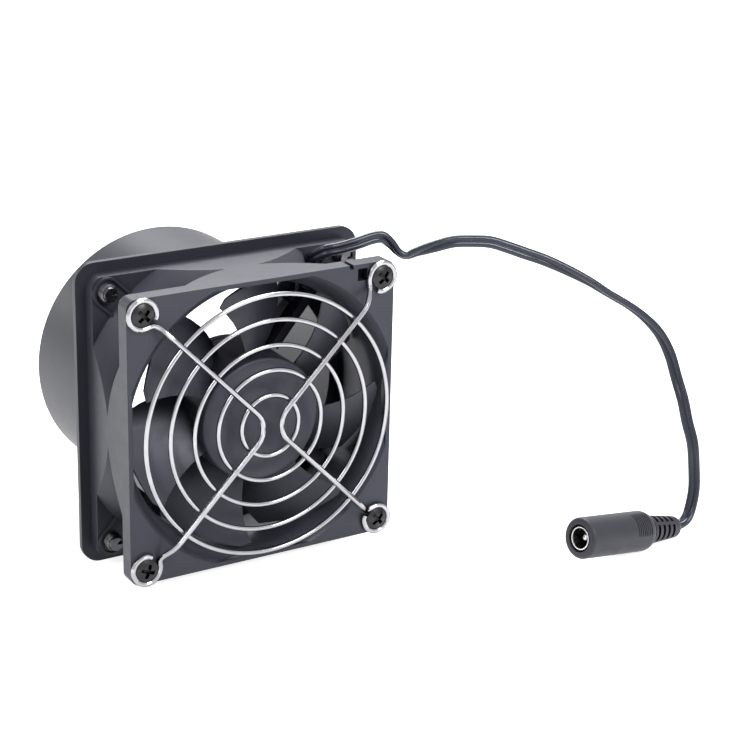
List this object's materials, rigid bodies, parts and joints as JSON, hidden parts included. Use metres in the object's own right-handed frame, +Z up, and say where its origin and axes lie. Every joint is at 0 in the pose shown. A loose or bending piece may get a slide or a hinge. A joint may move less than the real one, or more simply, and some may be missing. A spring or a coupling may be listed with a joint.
{
  "type": "inline exhaust fan",
  "caption": "Square axial fan with a chromed wire guard, on a plate with a round duct spigot, with a two-core cord and a round power socket.",
  "frame": {"origin": "the airflow axis at the back face of the square plate, where the duct spigot starts", "axes": "+Y along the airflow from the guard to the end of the spigot, +Z up, +X to the right seen from the guard's side"},
  "size_m": [0.1671, 0.1165, 0.0866],
  "materials": {
    "adapter_plastic": "satin moulded plastic, dark grey",
    "frame_plastic": "satin moulded plastic, near black",
    "blade_plastic": "satin moulded plastic, near black",
    "guard_chrome": "bright plated wire",
    "black_steel": "black coated, satin",
    "dark_steel": "dark plated",
    "plated_steel": "plain",
    "bearing_steel": "ground and polished",
    "magnet": "bonded ferrite, dull",
    "brass": "machined",
    "insulator_plastic": "plain",
    "coil_copper": "enamelled copper wire",
    "board_green": "solder resist",
    "chip_black": "moulded",
    "capacitor_tan": "ceramic",
    "label_silver": "plain foil, bare of text",
    "cord_vinyl": "flexible vinyl, slightly glossy",
    "jack_plastic": "moulded vinyl, matt",
    "contact_metal": "nickel plated"
  },
  "bodies": {
    "housing": {"duct_adapter": "adapter_plastic", "fan_frame": "frame_plastic", "front_outer_race": "bearing_steel", "rear_outer_race": "bearing_steel", "bearing_tube": "brass", "stator_core": "plated_steel", "front_insulator": "insulator_plastic", "rear_insulator": "insulator_plastic", "stator_coils": "coil_copper", "circuit_board": "board_green", "hall_sensor": "chip_black", "drive_chip": "chip_black", "capacitor": "capacitor_tan", "rear_label": "label_silver", "motor_leads": "cord_vinyl", "guard_rings": "guard_chrome", "left_spoke": "guard_chrome", "right_spoke": "guard_chrome", "guard_screws": "black_steel", "rear_screws": "dark_steel", "power_cord": "cord_vinyl", "jack_body": "jack_plastic", "jack_core": "chip_black", "jack_sleeve": "contact_metal", "jack_pin": "contact_metal"},
    "rotor": {"impeller": "blade_plastic", "rotor_yoke": "plated_steel", "ring_magnet": "magnet", "rotor_shaft": "bearing_steel", "front_inner_race": "bearing_steel", "rear_inner_race": "bearing_steel", "preload_spring": "bearing_steel", "shaft_clip": "dark_steel"},
    "ball_sets": {"front_balls": "bearing_steel", "rear_balls": "bearing_steel"}
  },
  "joints": [
    {"name": "impeller_spin", "type": "hinge", "parent": "housing", "child": "rotor", "pos_m": [0, -0.0131, 0], "axis": [0, -1, 0], "continuous": true},
    {"name": "ball_set_spin", "type": "hinge", "parent": "housing", "child": "ball_sets", "pos_m": [0, -0.0131, 0], "axis": [0, -1, 0], "continuous": true}
  ],
  "couplings": [
    {"joint": "ball_set_spin", "follows": "impeller_spin", "ratio": 0.3564}
  ]
}
